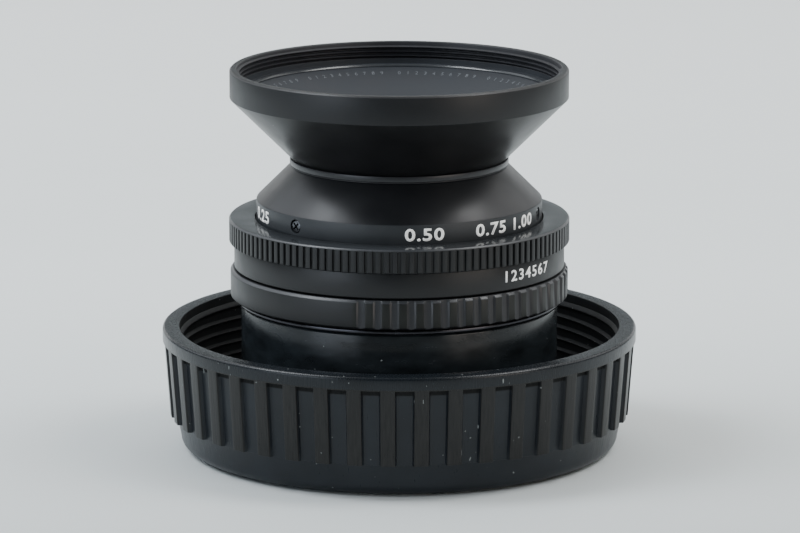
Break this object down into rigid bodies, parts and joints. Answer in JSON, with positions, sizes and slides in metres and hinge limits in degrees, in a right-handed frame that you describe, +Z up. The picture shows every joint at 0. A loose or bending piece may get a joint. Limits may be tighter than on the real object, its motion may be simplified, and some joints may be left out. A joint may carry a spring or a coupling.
{
  "type": "macro bellows lens head in its keeper",
  "caption": "Short macro lens head for a camera bellows, hourglass body with wide filter rim, knurled ring, aperture ring and iris, standing in its bayonet keeper tray.",
  "frame": {"origin": "centre of the keeper tray's foot, on the surface it stands on", "axes": "+Z up along the optical axis towards the filter rim, -Y the side of the front skirt screw's view"},
  "size_m": [0.081, 0.081, 0.0653],
  "materials": {
    "charcoal_plastic": "moulded, satin, finely scratched",
    "black_gloss_plastic": "moulded, glossy black",
    "black_anodised_aluminium": "turned and anodised satin black",
    "slate_anodised_aluminium": "turned and anodised matt slate",
    "dark_chrome_brass": "turned brass, blackened satin chrome",
    "blackened_screw_steel": "blackened",
    "bright_steel": "plain bright",
    "blade_steel": "matt black lacquered spring steel",
    "coated_glass": "optical glass, coated"
  },
  "bodies": {
    "keeper_base": {"keeper_tray": "charcoal_plastic", "keeper_socket": "black_gloss_plastic", "socket_screws": "blackened_screw_steel"},
    "aperture_ring": {"aperture_ring": "black_anodised_aluminium", "iris_drive_ring": "dark_chrome_brass", "drive_link": "bright_steel", "link_screw": "blackened_screw_steel"},
    "stop_down_lever": {"stop_down_lever": "bright_steel"},
    "iris_blade_1": {"iris_blade_1": "blade_steel"},
    "iris_blade_2": {"iris_blade_2": "blade_steel"},
    "iris_blade_3": {"iris_blade_3": "blade_steel"},
    "iris_blade_4": {"iris_blade_4": "blade_steel"},
    "iris_blade_5": {"iris_blade_5": "blade_steel"},
    "iris_blade_6": {"iris_blade_6": "blade_steel"},
    "lens_body": {"front_cone": "black_anodised_aluminium", "neck_ring": "black_anodised_aluminium", "skirt": "black_anodised_aluminium", "grip_ring": "black_anodised_aluminium", "index_ring": "black_anodised_aluminium", "main_barrel": "black_anodised_aluminium", "front_cell": "black_anodised_aluminium", "front_retainer": "black_anodised_aluminium", "front_spacer": "black_anodised_aluminium", "rear_cell": "black_anodised_aluminium", "rear_spacer": "black_anodised_aluminium", "rear_retainer": "black_anodised_aluminium", "iris_carrier": "black_anodised_aluminium", "iris_cover": "black_anodised_aluminium", "rear_baffle": "black_anodised_aluminium", "name_ring": "slate_anodised_aluminium", "bayonet_mount": "dark_chrome_brass", "lever_retainer": "dark_chrome_brass", "skirt_screws": "blackened_screw_steel", "mount_screws": "bright_steel", "cell_screws": "bright_steel", "click_screw": "bright_steel", "click_spring": "bright_steel", "click_ball": "bright_steel", "lever_spring": "bright_steel", "front_lens": "coated_glass", "front_crown_lens": "coated_glass", "front_flint_lens": "coated_glass", "rear_flint_lens": "coated_glass", "rear_crown_lens": "coated_glass", "rear_lens": "coated_glass"}
  },
  "joints": [
    {"name": "bayonet_twist", "type": "hinge", "parent": "keeper_base", "child": "lens_body", "pos_m": [0, 0, 0.0232], "axis": [0, 0, 1], "range_deg": [0, 54]},
    {"name": "aperture_turn", "type": "hinge", "parent": "lens_body", "child": "aperture_ring", "pos_m": [0, 0, 0.0286], "axis": [0, 0, 1], "range_deg": [0, 52]},
    {"name": "stop_down_turn", "type": "hinge", "parent": "lens_body", "child": "stop_down_lever", "pos_m": [0, 0, 0.036], "axis": [0, 0, 1], "range_deg": [0, 12], "stiffness_Nm_per_rad": 0.004, "springref_deg": -8.59},
    {"name": "blade_1_swing", "type": "hinge", "parent": "lens_body", "child": "iris_blade_1", "pos_m": [0.014, 0, 0.0403], "axis": [0, 0, 1], "range_deg": [0, 26.5]},
    {"name": "blade_2_swing", "type": "hinge", "parent": "lens_body", "child": "iris_blade_2", "pos_m": [0.007, 0.01212, 0.0403], "axis": [0, 0, 1], "range_deg": [0, 26.5]},
    {"name": "blade_3_swing", "type": "hinge", "parent": "lens_body", "child": "iris_blade_3", "pos_m": [-0.007, 0.01212, 0.0403], "axis": [0, 0, 1], "range_deg": [0, 26.5]},
    {"name": "blade_4_swing", "type": "hinge", "parent": "lens_body", "child": "iris_blade_4", "pos_m": [-0.014, 0, 0.0403], "axis": [0, 0, 1], "range_deg": [0, 26.5]},
    {"name": "blade_5_swing", "type": "hinge", "parent": "lens_body", "child": "iris_blade_5", "pos_m": [-0.007, -0.01212, 0.0403], "axis": [0, 0, 1], "range_deg": [0, 26.5]},
    {"name": "blade_6_swing", "type": "hinge", "parent": "lens_body", "child": "iris_blade_6", "pos_m": [0.007, -0.01212, 0.0403], "axis": [0, 0, 1], "range_deg": [0, 26.5]}
  ],
  "couplings": [
    {"joint": "blade_1_swing", "follows": "aperture_turn", "ratio": 0.50962},
    {"joint": "blade_2_swing", "follows": "aperture_turn", "ratio": 0.50962},
    {"joint": "blade_3_swing", "follows": "aperture_turn", "ratio": 0.50962},
    {"joint": "blade_4_swing", "follows": "aperture_turn", "ratio": 0.50962},
    {"joint": "blade_5_swing", "follows": "aperture_turn", "ratio": 0.50962},
    {"joint": "blade_6_swing", "follows": "aperture_turn", "ratio": 0.50962}
  ]
}
